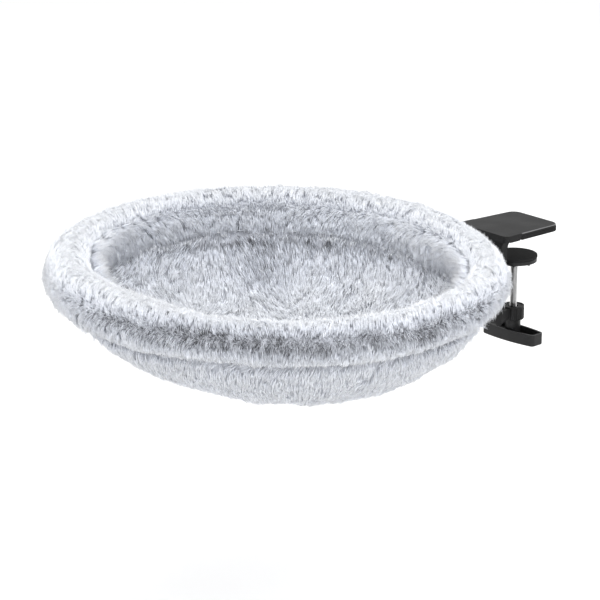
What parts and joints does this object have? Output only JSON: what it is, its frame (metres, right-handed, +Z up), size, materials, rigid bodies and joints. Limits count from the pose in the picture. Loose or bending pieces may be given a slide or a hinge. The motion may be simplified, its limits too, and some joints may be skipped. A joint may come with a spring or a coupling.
{
  "type": "desk cat bed",
  "caption": "Padded fur bowl bed for a cat, hung from an oval tube ring that a screw clamp holds at the edge of a desk.",
  "frame": {"origin": "on the clamp screw's axis, in the face of the top plate's pad that rests on the desk", "axes": "+X along the desk edge, +Y onto the desk, +Z up; the bed hangs out over -Y"},
  "size_m": [0.5, 0.5841, 0.1684],
  "materials": {
    "clamp_casting": "fine black texture",
    "black_plastic": "moulded, satin",
    "black_rubber": "matte",
    "zinc_steel": "zinc plated",
    "tube_paint": "black powder coat",
    "grey_fur": "long faux fur, white tips over grey roots",
    "fibre_wadding": "hollow fibre filling",
    "zip_tape": "woven tape with moulded teeth"
  },
  "bodies": {
    "clamp": {"clamp_frame": "clamp_casting", "plate_pad": "black_rubber", "thread_insert": "zinc_steel", "ring_tube_rear": "tube_paint", "ring_tube_front": "tube_paint", "ring_joint_screws": "zinc_steel", "support_arm_left": "tube_paint", "support_arm_right": "tube_paint", "arm_bolts": "zinc_steel", "arm_washers": "zinc_steel", "arm_nuts": "zinc_steel", "bolster_cover": "grey_fur", "bolster_padding": "fibre_wadding", "outer_bowl_cover": "grey_fur", "bowl_padding": "fibre_wadding", "inner_bowl_liner": "grey_fur", "zip_tape": "zip_tape", "zip_slider": "zinc_steel", "zip_pull": "zinc_steel"},
    "pressure_foot": {"pressure_disc": "black_plastic", "disc_pad": "black_rubber"},
    "screw": {"clamp_screw": "zinc_steel", "disc_retainer": "zinc_steel", "t_handle": "black_plastic", "handle_washer": "zinc_steel", "handle_screw": "zinc_steel"}
  },
  "joints": [
    {"name": "clamp_travel", "type": "slide", "parent": "clamp", "child": "pressure_foot", "axis": [0, 0, 1], "range_m": [-0.048, 0]},
    {"name": "screw_turn", "type": "hinge", "parent": "pressure_foot", "child": "screw", "pos_m": [0, 0, -0.09], "axis": [0, 0, 1], "range_deg": [-13822, 0]}
  ],
  "couplings": [
    {"joint": "clamp_travel", "follows": "screw_turn", "m_per_rad": 0.00019894}
  ]
}
